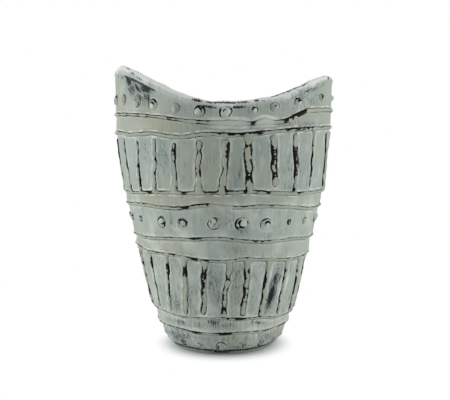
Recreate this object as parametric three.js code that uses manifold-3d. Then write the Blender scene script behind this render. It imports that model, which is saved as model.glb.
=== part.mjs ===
// A hand-built, wide-necked stoneware vase with a dipping rim.
// A base slab carries a flaring wall, a rolled lip closes the top, and eight clay cordons and two
// rings of clay ribs are luted to the outside, with three rows of clay pellets between them.
// Millimetres, +Z up, the origin under the middle of the foot, the front towards -Y.
import * as THREE from 'three';
import { mergeVertices } from 'three/addons/utils/BufferGeometryUtils.js';
import Module from 'manifold-3d';

// Heights of the zones between the lines, from the ground up, measured at the front
const SLAB_EDGE_HEIGHT = 4;
const FOOT_HEIGHT = 20.7;
const FOOT_BAND_HEIGHT = 16.6;
const LOWER_PANEL_HEIGHT = 59.2;
const LOWER_BAND_HEIGHT = 20.5;
const WAIST_HEIGHT = 31.5;
const UPPER_BAND_HEIGHT = 13;
const UPPER_PANEL_HEIGHT = 51.8;
const NECK_BAND_HEIGHT = 10.7;
const COLLAR_HEIGHT = 19.6;

// How far the lip climbs from its dips, front and back, to its two peaks
const LEFT_PEAK_RISE = 38;
const RIGHT_PEAK_RISE = 29;

// Angles from a dip, in degrees, where a line begins and ends its climb to its height at a side
const CLIMB = [0, 72];
const LIP_RIGHT_CLIMB = [4, 76];
const CORDON_1_LEFT_CLIMB = [0, 60];
const CORDON_1_RIGHT_CLIMB = [24, 50];

// How far the wall flares out in each zone, from the foot up
const SLAB_INSET = 3;
const FOOT_RADIUS = 56;
const HEEL_HEIGHT = 7;
const HEEL_FLARE = 6;
const FOOT_FLARE = 4.8;
const FOOT_BAND_FLARE = 6.2;
const LOWER_PANEL_FLARE = 15.7;
const LOWER_BAND_FLARE = 3.9;
const WAIST_FLARE = 7.8;
const UPPER_BAND_FLARE = 2.6;
const UPPER_PANEL_FLARE = 6.4;
const NECK_BAND_FLARE = 0.8;
const COLLAR_FLARE = 0.8;

// How far the wall above each cordon stands proud of the wall below it
const CORDON_8_LEDGE = 2.6;
const CORDON_7_LEDGE = 3.6;
const CORDON_6_LEDGE = 2.4;
const CORDON_5_LEDGE = 2.2;
const CORDON_4_LEDGE = 0.6;
const CORDON_3_LEDGE = 1;
const CORDON_2_LEDGE = 0.4;
const CORDON_1_LEDGE = 0.4;

// How far each line strays from its front height at the left, the right and the back
const CORDON_8_LEFT = 1.5;
const CORDON_8_BACK = 0.5;
const CORDON_7_LEFT = 1;
const CORDON_7_RIGHT = -6;
const CORDON_7_BACK = -2;
const CORDON_6_LEFT = 5;
const CORDON_6_RIGHT = -4;
const CORDON_5_LEFT = -4;
const CORDON_5_RIGHT = -6;
const CORDON_5_BACK = -3;
const CORDON_4_LEFT = -3.5;
const CORDON_4_RIGHT = -6.5;
const CORDON_4_BACK = -2;
const CORDON_3_LEFT = -3.5;
const CORDON_3_RIGHT = -4;
const CORDON_3_BACK = -1;
const CORDON_2_LEFT = 2;
const CORDON_2_RIGHT = 8;
const CORDON_2_BACK = 2;
const CORDON_1_LEFT = 10;
const CORDON_1_RIGHT = 14;
const COLLAR_PELLETS_LEFT = 14.5;
const COLLAR_PELLETS_RIGHT = 17;
const WAIST_PELLETS_RIGHT = -2;
const WAIST_PELLETS_BACK = -1;

// Clay thicknesses, and the gap of the luted joints
const WALL_THICKNESS = 7.5;
const FLOOR_RISE = 6;
const LIP_HEIGHT = 5;
const LIP_OVERHANG = 0.5;
const SLAB_EDGE_ROUNDING = 1;
const JOINT = 0.3;

// Cordons: coils pressed flat on the wall
const CORDON_WIDTH = 4.6;
const CORDON_LIFT = 2.2;
const CORDON_EDGE_LIFT = 1.5;
const CORDON_CROWN_WIDTH = 2.8;
const CORDON_WOBBLE = 0.6;
const CORDON_WOBBLE_WAVES = 7;

// Ribs: short strips with a rounded head at each end
const RIB_WIDTH = 4.6;
const RIB_HEAD_WIDTH = 6.6;
const RIB_HEAD_LENGTH = 7;
const RIB_TIP_WIDTH = 4;
const RIB_LIFT = 1.5;
const RIB_EDGE_LIFT = 0.9;
const RIB_TIP_LIFT = 0.8;
const UPPER_RIB_TOP_SPACE = 3;
const LOWER_RIB_FOOT_SPACE = 1.2;
const UPPER_RIB_COUNT = 26;
const LOWER_RIB_COUNT = 23;
const BACK_RIB_LEAN = 3;

// Angle round the wall and lean from foot to head, in degrees, of the ribs set by eye in front
const UPPER_FRONT_RIBS = [
  [-61.5, -4], [-49, 0], [-37, 2.5], [-25, 1.5], [-12, 1], [0.5, 2],
  [12.5, -1], [26, -3], [39, -3], [52.5, -1.5], [70, -5],
];
const LOWER_FRONT_RIBS = [
  [-56, 1], [-40.5, 4], [-26.5, 3.5], [-13, 3.5], [2, 4],
  [15, 1], [29.5, 2.5], [46, 0.5], [62, -3],
];

// Pellets: small balls of clay pressed on the wall
const PELLET_RADIUS = 3.8;
const PELLET_LIFT = 2.1;
const COLLAR_PELLET_RISE = 10.2;
const WAIST_PELLET_RISE = 15.2;
const FOOT_PELLET_RISE = 8.8;
const PELLET_WOBBLE = 0.4;
const COLLAR_PELLET_COUNT = 27;
const WAIST_PELLET_COUNT = 23;
const FOOT_PELLET_COUNT = 19;

// Angle round the wall, in degrees, of the pellets set by eye in front
const COLLAR_FRONT_PELLETS = [[-60], [-47], [-35.5], [-23], [-11], [1], [14], [25], [39], [58], [82]];
const WAIST_FRONT_PELLETS = [[-70], [-56], [-37], [-23], [-5], [10], [24], [41], [56], [72]];
const FOOT_FRONT_PELLETS = [[-68], [-41], [-24], [-1], [19], [39], [59]];

// Fineness of the facets
const SEGMENTS = 48;
const COLLAR_STEPS = 2;
const LIP_ARC_STEPS = 6;
const PELLET_SIDES = 6;
const PELLET_RINGS = 4;

// Fired colours
const GLAZE = { color: 0xa3aaa1, roughness: 0.6, metalness: 0 };
const PALE_GLAZE = { color: 0xc6cbc6, roughness: 0.55, metalness: 0 };
const BARE_CLAY = { color: 0xaaa292, roughness: 0.75, metalness: 0 };

// Lines round the wall from the foot up. Each one names the zone below it, its flare and how many
// facets climb it, the ledge at the line, and how far the line strays from its front height.
const CORDONS = [
  { name: 'cordon_8', zone: FOOT_HEIGHT, flare: FOOT_FLARE, steps: 3, ledge: CORDON_8_LEDGE,
    left: CORDON_8_LEFT, right: 0, back: CORDON_8_BACK },
  { name: 'cordon_7', zone: FOOT_BAND_HEIGHT, flare: FOOT_BAND_FLARE, steps: 1, ledge: CORDON_7_LEDGE,
    left: CORDON_7_LEFT, right: CORDON_7_RIGHT, back: CORDON_7_BACK },
  { name: 'cordon_6', zone: LOWER_PANEL_HEIGHT, flare: LOWER_PANEL_FLARE, steps: 3, ledge: CORDON_6_LEDGE,
    left: CORDON_6_LEFT, right: CORDON_6_RIGHT, back: 0 },
  { name: 'cordon_5', zone: LOWER_BAND_HEIGHT, flare: LOWER_BAND_FLARE, steps: 1, ledge: CORDON_5_LEDGE,
    left: CORDON_5_LEFT, right: CORDON_5_RIGHT, back: CORDON_5_BACK },
  { name: 'cordon_4', zone: WAIST_HEIGHT, flare: WAIST_FLARE, steps: 2, ledge: CORDON_4_LEDGE,
    left: CORDON_4_LEFT, right: CORDON_4_RIGHT, back: CORDON_4_BACK },
  { name: 'cordon_3', zone: UPPER_BAND_HEIGHT, flare: UPPER_BAND_FLARE, steps: 1, ledge: CORDON_3_LEDGE,
    left: CORDON_3_LEFT, right: CORDON_3_RIGHT, back: CORDON_3_BACK },
  { name: 'cordon_2', zone: UPPER_PANEL_HEIGHT, flare: UPPER_PANEL_FLARE, steps: 3, ledge: CORDON_2_LEDGE,
    left: CORDON_2_LEFT, right: CORDON_2_RIGHT, back: CORDON_2_BACK },
  { name: 'cordon_1', zone: NECK_BAND_HEIGHT, flare: NECK_BAND_FLARE, steps: 1, ledge: CORDON_1_LEDGE,
    left: CORDON_1_LEFT, right: CORDON_1_RIGHT, back: 0,
    leftClimb: CORDON_1_LEFT_CLIMB, rightClimb: CORDON_1_RIGHT_CLIMB },
];
let climb = SLAB_EDGE_HEIGHT;
let reach = FOOT_RADIUS + HEEL_FLARE;
CORDONS.forEach((cordon, order) => {
  climb += cordon.zone;
  reach += cordon.flare;
  cordon.height = climb;
  cordon.radius = reach;
  cordon.wobble = CORDON_WOBBLE;
  cordon.phase = order * order;
});
const [, cordon7, cordon6, cordon5, , cordon3, cordon2, cordon1] = CORDONS;
const LIP = {
  height: climb + COLLAR_HEIGHT, left: LEFT_PEAK_RISE, right: RIGHT_PEAK_RISE, back: 0,
  rightClimb: LIP_RIGHT_CLIMB, wobble: 0, phase: 0,
};
const COLLAR_PELLETS = {
  height: cordon1.height + COLLAR_PELLET_RISE, left: COLLAR_PELLETS_LEFT, right: COLLAR_PELLETS_RIGHT,
  back: 0, wobble: 0, phase: 0,
};
const WAIST_PELLETS = {
  height: cordon5.height + WAIST_PELLET_RISE, left: 0, right: WAIST_PELLETS_RIGHT,
  back: WAIST_PELLETS_BACK, wobble: PELLET_WOBBLE, phase: 2,
};
const FOOT_PELLETS = {
  height: SLAB_EDGE_HEIGHT + FOOT_PELLET_RISE, left: 0, right: 0, back: 0,
  wobble: PELLET_WOBBLE, phase: 1,
};

const wasm = await Module();
wasm.setup();

const vase = new THREE.Group();

function addPiece(name, geometry, look) {
  geometry.deleteAttribute('uv');
  geometry.computeVertexNormals();
  const piece = new THREE.Mesh(geometry, new THREE.MeshStandardMaterial(look));
  piece.name = name;
  vase.add(piece);
}

// Angles run from the front, positive towards +X
function roundTheAxis(radius, angle, height) {
  return new THREE.Vector3(radius * Math.sin(angle), -radius * Math.cos(angle), height);
}

// 0 at the front and back dips, 1 past the end of the climb to the broad peak at a side
function sideShare(angle, [start, end]) {
  const fromDip = THREE.MathUtils.radToDeg(Math.asin(Math.abs(Math.sin(angle))));
  const eased = THREE.MathUtils.clamp((fromDip - start) / (end - start), 0, 1);
  return (1 - Math.cos(Math.PI * eased)) / 2;
}

function lineHeight(line, angle) {
  const isLeft = Math.sin(angle) < 0;
  const side = isLeft ? line.left : line.right;
  const share = sideShare(angle, (isLeft ? line.leftClimb : line.rightClimb) ?? CLIMB);
  const middle = Math.cos(angle) < 0 ? line.back : 0;
  const wobble = line.wobble * Math.sin(CORDON_WOBBLE_WAVES * angle + line.phase);
  return line.height + middle * (1 - share) + side * share + wobble;
}

// The flare of the wall without its ledges: points of radius and height, straight from line to line
const profile = [
  new THREE.Vector2(FOOT_RADIUS, SLAB_EDGE_HEIGHT),
  new THREE.Vector2(FOOT_RADIUS + HEEL_FLARE, SLAB_EDGE_HEIGHT + HEEL_HEIGHT),
  ...CORDONS.map((cordon) => new THREE.Vector2(cordon.radius, cordon.height)),
  new THREE.Vector2(reach + COLLAR_FLARE, LIP.height + Math.max(LEFT_PEAK_RISE, RIGHT_PEAK_RISE)),
];

function flareRadius(height) {
  const above = profile.findIndex((point) => point.y > height);
  if (above === 0) {
    return profile[0].x;
  }
  if (above === -1) {
    return profile[profile.length - 1].x;
  }
  const low = profile[above - 1];
  const high = profile[above];
  return THREE.MathUtils.mapLinear(height, low.y, high.y, low.x, high.x);
}

function wallTop(angle) {
  return lineHeight(LIP, angle) - LIP_HEIGHT;
}

// The zones of the wall at one angle, from the foot up: each ends where the next cordon's ledge
// begins, set in or out from the flare by half of that ledge
function wallZones(angle) {
  const zones = [];
  let low = { height: SLAB_EDGE_HEIGHT + JOINT, offset: 0 };
  for (const cordon of CORDONS) {
    const middle = lineHeight(cordon, angle);
    const high = { height: middle - CORDON_WIDTH / 2, offset: -cordon.ledge / 2 };
    zones.push({ low, high, steps: cordon.steps });
    low = { height: middle + CORDON_WIDTH / 2, offset: cordon.ledge / 2 };
  }
  zones.push({ low, high: { height: wallTop(angle), offset: 0 }, steps: COLLAR_STEPS });
  return zones;
}

// The wall's outside at one angle: points of radius and height, joined by straight facets
function wallOutside(angle) {
  const points = [];
  for (const { low, high, steps } of wallZones(angle)) {
    for (let step = 0; step <= steps; step += 1) {
      const height = THREE.MathUtils.lerp(low.height, high.height, step / steps);
      const offset = THREE.MathUtils.lerp(low.offset, high.offset, step / steps);
      points.push(new THREE.Vector2(flareRadius(height) + offset, height));
    }
  }
  return points;
}

function wallRadius(angle, height) {
  const points = wallOutside(angle);
  const found = points.findIndex((point) => point.y >= height);
  const above = found === -1 ? points.length - 1 : Math.max(found, 1);
  const low = points[above - 1];
  const high = points[above];
  return THREE.MathUtils.mapLinear(height, low.y, high.y, low.x, high.x);
}

function innerRadius(height) {
  return flareRadius(height) - WALL_THICKNESS;
}

// A ring lathed from its section at the front, then each column shifted to its own section
function shapedRing(sectionAt) {
  const front = sectionAt(0);
  const geometry = new THREE.LatheGeometry(front, SEGMENTS);
  const { position } = geometry.attributes;
  for (let column = 0; column <= SEGMENTS; column += 1) {
    const angle = (2 * Math.PI * (column % SEGMENTS)) / SEGMENTS;
    sectionAt(angle).forEach((point, row) => {
      const place = roundTheAxis(point.x, angle, point.y);
      position.setXYZ(column * front.length + row, place.x, place.y, place.z);
    });
  }
  return geometry;
}

// Angle and lean of the pieces set by eye in front, then of the rest, even round the back
function spreadRound(frontPieces, count) {
  const spots = frontPieces.map((spot) => spot.map((degrees) => THREE.MathUtils.degToRad(degrees)));
  const first = spots[0][0];
  const last = spots[spots.length - 1][0];
  const backCount = count - spots.length;
  const pitch = (2 * Math.PI - (last - first)) / (backCount + 1);
  for (let turn = 1; turn <= backCount; turn += 1) {
    const lean = THREE.MathUtils.degToRad(BACK_RIB_LEAN) * Math.sin(turn * turn);
    spots.push([last + turn * pitch, lean]);
  }
  return spots;
}

// Closed solids for joining
function asSolid(geometry) {
  const bare = geometry.clone();
  bare.deleteAttribute('normal');
  bare.deleteAttribute('uv');
  const merged = mergeVertices(bare);
  return new wasm.Manifold(new wasm.Mesh({
    numProp: 3,
    vertProperties: merged.attributes.position.array,
    triVerts: new Uint32Array(merged.index.array),
  }));
}

function asGeometry(solid) {
  const mesh = solid.getMesh();
  const geometry = new THREE.BufferGeometry();
  geometry.setAttribute('position', new THREE.BufferAttribute(mesh.vertProperties, mesh.numProp));
  geometry.setIndex(new THREE.BufferAttribute(mesh.triVerts, 1));
  return geometry;
}

// Base slab: a disc whose edge shows under the wall and whose raised middle is the vase's floor
function baseSlab() {
  const floor = SLAB_EDGE_HEIGHT + FLOOR_RISE;
  const slabRadius = FOOT_RADIUS - SLAB_INSET;
  const seat = innerRadius(SLAB_EDGE_HEIGHT) - JOINT;
  const floorEdge = innerRadius(floor) - JOINT;
  const outline = [
    [0, 0], [slabRadius - SLAB_EDGE_ROUNDING, 0], [slabRadius, SLAB_EDGE_ROUNDING],
    [slabRadius, SLAB_EDGE_HEIGHT], [seat, SLAB_EDGE_HEIGHT], [floorEdge, floor], [0, floor],
  ].map(([radius, height]) => new THREE.Vector2(radius, height));
  return shapedRing(() => outline);
}

// Wall: the outside climbs over every ledge, the inside falls back smooth from the top to the slab
function wallSection(angle) {
  const inside = [wallTop(angle)];
  for (const cordon of [...CORDONS].reverse()) {
    inside.push(lineHeight(cordon, angle));
  }
  inside.push(SLAB_EDGE_HEIGHT + HEEL_HEIGHT, SLAB_EDGE_HEIGHT + JOINT);
  const section = [
    ...wallOutside(angle),
    ...inside.map((height) => new THREE.Vector2(innerRadius(height), height)),
  ];
  return [...section, section[0]];
}

// Pellet: a ball flattened on to the wall, half of it sunk in
function pellet(angle, height) {
  const geometry = new THREE.SphereGeometry(1, PELLET_SIDES, PELLET_RINGS);
  geometry.scale(PELLET_RADIUS, PELLET_LIFT, PELLET_RADIUS);
  const out = roundTheAxis(1, angle, 0);
  geometry.applyQuaternion(new THREE.Quaternion().setFromUnitVectors(new THREE.Vector3(0, 1, 0), out));
  const seat = roundTheAxis(wallRadius(angle, height), angle, height);
  return geometry.translate(seat.x, seat.y, seat.z);
}

function wall() {
  let solid = asSolid(shapedRing(wallSection));
  const rows = [
    [COLLAR_PELLETS, COLLAR_FRONT_PELLETS, COLLAR_PELLET_COUNT],
    [WAIST_PELLETS, WAIST_FRONT_PELLETS, WAIST_PELLET_COUNT],
    [FOOT_PELLETS, FOOT_FRONT_PELLETS, FOOT_PELLET_COUNT],
  ];
  for (const [line, frontPellets, count] of rows) {
    for (const [angle] of spreadRound(frontPellets, count)) {
      solid = solid.add(asSolid(pellet(angle, lineHeight(line, angle))));
    }
  }
  return asGeometry(solid);
}

// Rolled lip: a half-round coil seated on the top of the wall
function lipSection(angle) {
  const seat = wallTop(angle) + JOINT;
  const middle = (wallRadius(angle, wallTop(angle)) + innerRadius(wallTop(angle))) / 2;
  const halfWidth = WALL_THICKNESS / 2 + LIP_OVERHANG;
  const arc = new THREE.EllipseCurve(middle, seat, halfWidth, LIP_HEIGHT - JOINT, 0, Math.PI);
  const points = arc.getPoints(LIP_ARC_STEPS);
  return [...points, points[0]];
}

// Cordon: a flattened coil that covers one ledge of the wall
function cordonSection(cordon, angle) {
  const middle = lineHeight(cordon, angle);
  const points = [
    [-CORDON_WIDTH / 2, JOINT], [-CORDON_CROWN_WIDTH / 2, CORDON_EDGE_LIFT + JOINT],
    [0, CORDON_LIFT + JOINT], [CORDON_CROWN_WIDTH / 2, CORDON_EDGE_LIFT + JOINT],
    [CORDON_WIDTH / 2, JOINT],
  ].map(([rise, lift]) => {
    const height = middle + rise;
    return new THREE.Vector2(wallRadius(angle, height) + lift, height);
  });
  return [...points, points[0]];
}

// Heights of a rib's facets: at its rounded heads, and wherever the wall under it bends
function ribStations(angle, foot, head) {
  const ends = [0, RIB_HEAD_LENGTH / 2, RIB_HEAD_LENGTH];
  const heights = [...ends.map((inset) => foot + inset), ...ends.map((inset) => head - inset)];
  for (const bend of wallOutside(angle)) {
    const isInside = bend.y > foot && bend.y < head;
    const isApart = heights.every((height) => Math.abs(height - bend.y) > JOINT);
    if (isInside && isApart) {
      heights.push(bend.y);
    }
  }
  return heights.sort((one, other) => one - other);
}

// Width and lift of a rib at a distance from its nearer end: tip, then head, then shaft
function ribSize(inset) {
  const toHead = Math.min(inset / (RIB_HEAD_LENGTH / 2), 1);
  const toShaft = THREE.MathUtils.clamp(inset / (RIB_HEAD_LENGTH / 2) - 1, 0, 1);
  const headWidth = THREE.MathUtils.lerp(RIB_TIP_WIDTH, RIB_HEAD_WIDTH, toHead);
  return {
    width: THREE.MathUtils.lerp(headWidth, RIB_WIDTH, toShaft),
    lift: THREE.MathUtils.lerp(RIB_TIP_LIFT, RIB_LIFT, toHead),
  };
}

// Rib: a strip from one height to another, bent on to the wall, with a swollen head at each end
function rib(angle, lean, foot, head) {
  const heights = ribStations(angle, foot, head);
  const steps = heights.length - 1;
  const geometry = new THREE.BoxGeometry(2, steps, 1, 2, steps, 1);
  const { position } = geometry.attributes;
  for (let index = 0; index < position.count; index += 1) {
    const across = position.getX(index) / 2;
    const height = heights[Math.round(position.getY(index) + steps / 2)];
    const size = ribSize(Math.min(height - foot, head - height));
    const crown = across === 0 ? size.lift : Math.min(size.lift, RIB_EDGE_LIFT);
    const lift = position.getZ(index) < 0 ? 0 : crown;
    const middle = angle + lean * THREE.MathUtils.mapLinear(height, foot, head, -0.5, 0.5);
    const turn = middle + (across * size.width) / flareRadius(height);
    const place = roundTheAxis(wallRadius(turn, height) + JOINT + lift, turn, height);
    position.setXYZ(index, place.x, place.y, place.z);
  }
  return geometry;
}

// A ring of ribs that stand between two cordons
function addRibs(name, spots, footAt, headAt) {
  spots.forEach(([angle, lean], order) => {
    const number = String(order + 1).padStart(2, '0');
    const foot = footAt(angle - lean / 2);
    const head = headAt(angle + lean / 2);
    addPiece(`${name}_${number}`, rib(angle, lean, foot, head), BARE_CLAY);
  });
}

addPiece('base_slab', baseSlab(), BARE_CLAY);
addPiece('wall', wall(), GLAZE);
addPiece('rim_coil', shapedRing(lipSection), PALE_GLAZE);
for (const cordon of CORDONS) {
  addPiece(cordon.name, shapedRing((angle) => cordonSection(cordon, angle)), BARE_CLAY);
}
const besideCordon = CORDON_WIDTH / 2 + JOINT;
addRibs(
  'upper_rib',
  spreadRound(UPPER_FRONT_RIBS, UPPER_RIB_COUNT),
  (angle) => lineHeight(cordon3, angle) + besideCordon,
  (angle) => lineHeight(cordon2, angle) - besideCordon - UPPER_RIB_TOP_SPACE,
);
addRibs(
  'lower_rib',
  spreadRound(LOWER_FRONT_RIBS, LOWER_RIB_COUNT),
  (angle) => lineHeight(cordon7, angle) + besideCordon + LOWER_RIB_FOOT_SPACE,
  (angle) => lineHeight(cordon6, angle) - besideCordon,
);

export default vase;
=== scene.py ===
"""Looks of a hand-built, wide-necked stoneware vase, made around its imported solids.

Angles run round the vase from the front (-Y), positive towards +X. Shapes are worked out in
millimetres and laid in metres.
"""
import math
import bpy
import numpy as np
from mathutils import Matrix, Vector


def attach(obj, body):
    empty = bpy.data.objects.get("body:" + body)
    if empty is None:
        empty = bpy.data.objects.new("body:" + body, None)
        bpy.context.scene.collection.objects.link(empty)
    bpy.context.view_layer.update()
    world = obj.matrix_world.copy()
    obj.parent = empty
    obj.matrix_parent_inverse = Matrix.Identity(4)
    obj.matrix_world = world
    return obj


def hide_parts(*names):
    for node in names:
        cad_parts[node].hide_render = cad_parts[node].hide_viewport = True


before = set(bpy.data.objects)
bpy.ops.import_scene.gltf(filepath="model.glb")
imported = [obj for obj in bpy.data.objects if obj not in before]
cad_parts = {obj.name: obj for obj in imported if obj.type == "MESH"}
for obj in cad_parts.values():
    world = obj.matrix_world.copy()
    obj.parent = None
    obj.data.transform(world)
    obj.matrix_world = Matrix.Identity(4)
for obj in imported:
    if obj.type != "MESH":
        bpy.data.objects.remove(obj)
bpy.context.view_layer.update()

MM = 0.001              # in metres
PER_METRE = 1000.0
COLUMNS = 48            # sections round each ring of the solids
CURVE_STEPS = 30 * COLUMNS
PROFILE_STEPS = 800
JOINT = 0.3             # slip joint between the wall and what is luted to it
WALL_THICKNESS = 7.5
FOOT_HEIGHT = 4.3       # underside of the wall, on the base slab
FOOT_CURVE = [(4.0, 56.0), (11.0, 62.0)]    # height and radius of the foot and of the heel
HEEL_POINTS = 3         # the foot, the heel and the lowest cordon, joined by a curve
RIM_INSET = 0.5         # how far the wall's flare stays inside the lip's reach

CORDON_NAMES = ["cordon_8", "cordon_7", "cordon_6", "cordon_5",
                "cordon_4", "cordon_3", "cordon_2", "cordon_1"]

# Reading the frame

def vertex_places(mesh):
    """Places of a mesh's vertices, in metres."""
    places = np.empty(len(mesh.vertices) * 3, np.float32)
    mesh.vertices.foreach_get("co", places)
    return places.reshape(-1, 3).astype(float)


def corners(name):
    """Corners of a solid, in millimetres."""
    return vertex_places(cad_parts[name].data) * PER_METRE


def turn_and_radius(points):
    """Angle from the front and distance from the axis of each point."""
    return np.arctan2(points[:, 0], -points[:, 1]), np.hypot(points[:, 0], points[:, 1])


def front_angle(turn):
    """Angle in degrees of the same spot in front, because the back repeats the front."""
    return np.degrees(np.arcsin(np.sin(turn)))


def turn_between(turn, other):
    """The shorter way round from one angle to another."""
    return np.angle(np.exp(1j * (turn - other)))


def soft_step(share):
    """Eases from 0 to 1 while the share grows from 0 to 1."""
    share = np.clip(share, 0, 1)
    return share * share * (3 - 2 * share)


def ring_sections(name):
    """Radius and height of the corners of a ring, section by section from the front."""
    points = corners(name)
    turn, radius = turn_and_radius(points)
    column = np.round(turn * COLUMNS / (2 * np.pi)).astype(int) % COLUMNS
    section = np.column_stack((radius, points[:, 2]))
    return [section[column == number] for number in range(COLUMNS)]


def closed_curve(values):
    """A smooth closed curve through one value for each section, as a function of the angle."""
    fine = np.fft.irfft(np.fft.rfft(values), CURVE_STEPS) * CURVE_STEPS / COLUMNS
    turns = np.linspace(0, 2 * np.pi, CURVE_STEPS, endpoint=False)
    return lambda turn: np.interp(turn, turns, fine, period=2 * np.pi)


def smooth_profile(places, values):
    """Fine places and values of a smooth curve through a few points."""
    places, values = np.array(places), np.array(values)
    slopes = np.gradient(values, places)
    fine = np.linspace(places[0], places[-1], PROFILE_STEPS)
    start = np.clip(np.searchsorted(places, fine) - 1, 0, len(places) - 2)
    span = places[start + 1] - places[start]
    share = (fine - places[start]) / span
    from_start = values[start] + slopes[start] * span * share
    from_end = values[start + 1] - slopes[start + 1] * span * (1 - share)
    ease = soft_step(share)
    return fine, from_start * (1 - ease) + from_end * ease


# How far the cordons stray from the lines of the solids, as pressed on by eye: angle and rise
STRAYS = {
    "cordon_1": [
        (-90, 0), (-20, 0), (8, 0.3), (14, -0.4), (19, 1.1), (24, 0.3), (28, 0), (60, 0), (90, 0)],
    "cordon_2": [
        (-90, 0), (-68, 0.5), (-54, -0.4), (-42, 0.6), (-35, 0.4), (-30, -1.2), (-24, -2.3), (-18, -2),
        (-12, 0.2), (-7, 1.5), (0, 1), (14, 0.6), (45, 0.8), (71, -0.4), (90, 0)],
    "cordon_4": [
        (-90, 0), (-68, 0), (-45, 1.4), (-33, -0.7), (-19, -1.4), (-8, 1), (5, -0.4), (19, 0.8),
        (34, 0.5), (76, 0), (90, 0)],
    "cordon_5": [
        (-90, 0), (-79, 0.5), (-52, -0.3), (-31, 1.1), (-16, -0.3), (-5, 0.5), (7, -0.3), (21, -1.5),
        (32, -1.4), (44, 0), (67, 0.7), (90, 0)],
    "cordon_6": [
        (-90, 0), (-73, 0.6), (-55, -0.8), (-39, 0.9), (-27, 0.5), (-17, -0.8), (-7, -0.5), (3, 0),
        (9, 1.4), (22, 0.5), (40, -0.5), (68, 1), (90, 0)],
    "cordon_7": [
        (-90, 0), (-72, 0.7), (-53, -0.4), (-38, -1.5), (-21, 0), (-3, -0.3), (15, -0.7), (28, 1.3),
        (49, -0.3), (63, 0.7), (90, 0)],
}
STRAIGHT = [(-90, 0), (0, 0), (90, 0)]


def strayed(curve, stray):
    """A line of the solids as the hand laid it, the same at the back as in front."""
    angles, rises = smooth_profile(*zip(*stray))
    return lambda turn: curve(turn) + np.interp(front_angle(turn), angles, rises)


LINES = []
for cordon_name in CORDON_NAMES:
    sections = ring_sections(cordon_name)
    stray = STRAYS.get(cordon_name, STRAIGHT)
    lows = [section[section[:, 1].argmin()] for section in sections]
    highs = [section[section[:, 1].argmax()] for section in sections]
    LINES.append({
        "name": cordon_name,
        "low": strayed(closed_curve([low[1] for low in lows]), stray),
        "high": strayed(closed_curve([high[1] for high in highs]), stray),
        "front_low": lows[0] - (JOINT, 0),
        "front_high": highs[0] - (JOINT, 0),
    })

# How far the lip lies under the solid's at the far left, in front and behind alike: angle and rise
PEAK_EASE = [(-90, -3.6), (-80, -2.8), (-66, -0.5), (-58, 0), (0, 0), (90, 0)]
rim_sections = ring_sections("rim_coil")
rim_reach, rim_peak = np.concatenate(rim_sections).max(axis=0)
rim_seat = strayed(closed_curve([section[:, 1].min() - JOINT for section in rim_sections]), PEAK_EASE)
rim_top = strayed(closed_curve([section[:, 1].max() for section in rim_sections]), PEAK_EASE)

flare_points = list(FOOT_CURVE)
for line in LINES:
    middle = (line["front_low"] + line["front_high"]) / 2
    flare_points.append((middle[1], middle[0]))
flare_points.append((rim_peak, rim_reach - RIM_INSET))
flare_heights, flare_radii = np.array(flare_points).T
heel_heights, heel_radii = smooth_profile(flare_heights[:HEEL_POINTS], flare_radii[:HEEL_POINTS])
FLARE_HEIGHTS = np.append(heel_heights, flare_heights[HEEL_POINTS:])
FLARE_RADII = np.append(heel_radii, flare_radii[HEEL_POINTS:])


def flare(height):
    """Radius of the wall at a height, without its ledges."""
    return np.interp(height, FLARE_HEIGHTS, FLARE_RADII)


for line in LINES:
    (low_radius, low_height), (high_radius, high_height) = line["front_low"], line["front_high"]
    line["ledge"] = high_radius - low_radius - flare(high_height) + flare(low_height)

# The wall's two sides

PILLOW = 0.2            # how far a band swells between its cordons
INSIDE_MARKS = 0.6      # share of the hand's marks that shows inside

# Marks of the hand: waves round the vase, pitch over the height, phase and depth
UNEVENNESS = [(3, 0.055, 1.3, 0.35), (5, -0.043, 0.2, 0.25), (8, 0.11, 2.6, 0.18), (13, -0.19, 4.1, 0.12)]


def unevenness(turn, height):
    """The slight hollows and swellings of a wall beaten and smoothed by hand."""
    return sum(depth * np.sin(waves * turn + pitch * height + phase)
               for waves, pitch, phase, depth in UNEVENNESS)


def wall_knots(turn):
    """Heights of the wall's foot, of both edges of every cordon and of the rim's seat."""
    knots = [np.full(np.shape(turn), FOOT_HEIGHT)]
    for line in LINES:
        knots += [line["low"](turn), line["high"](turn)]
    return knots + [rim_seat(turn)]


def plain_radius(turn, height):
    """Radius of the wall with its ledges, as in the solids."""
    knots = wall_knots(turn)
    offset = np.zeros(np.shape(height))
    below = 0.0
    for number, line in enumerate(LINES):
        ledge = line["ledge"]
        start, low, high = knots[2 * number:2 * number + 3]
        climb = np.clip((height - start) / (low - start), 0, 1)
        offset = np.where(height >= start, below + (-ledge / 2 - below) * climb, offset)
        offset = np.where(height >= low, ledge * (soft_step((height - low) / (high - low)) - 0.5), offset)
        below = ledge / 2
    climb = np.clip((height - knots[-2]) / (knots[-1] - knots[-2]), 0, 1)
    offset = np.where(height >= knots[-2], below * (1 - climb), offset)
    return flare(height) + offset


def wall_radius(turn, height):
    """Radius of the finished wall: swollen bands and the marks of the hand."""
    knots = wall_knots(turn)
    swell = np.zeros(np.shape(height))
    for start, end in zip(knots[2:-2:2], knots[3:-1:2]):
        share = np.clip((height - start) / (end - start), 0, 1)
        swell = swell + PILLOW * np.sin(np.pi * share) ** 2
    return plain_radius(turn, height) + swell + unevenness(turn, height)


def inner_radius(turn, height):
    """Radius of the wall's inside, where the ledges don't show."""
    return flare(height) - WALL_THICKNESS + INSIDE_MARKS * unevenness(turn, height)


def round_the_axis(radius, turn, height):
    return np.column_stack((radius * np.sin(turn), -radius * np.cos(turn), height))


# Making sheets of clay

WELD_REACH = 0.00002    # in metres
BACKING = 1.0           # thickness of a strip or pellet under its face


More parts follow.
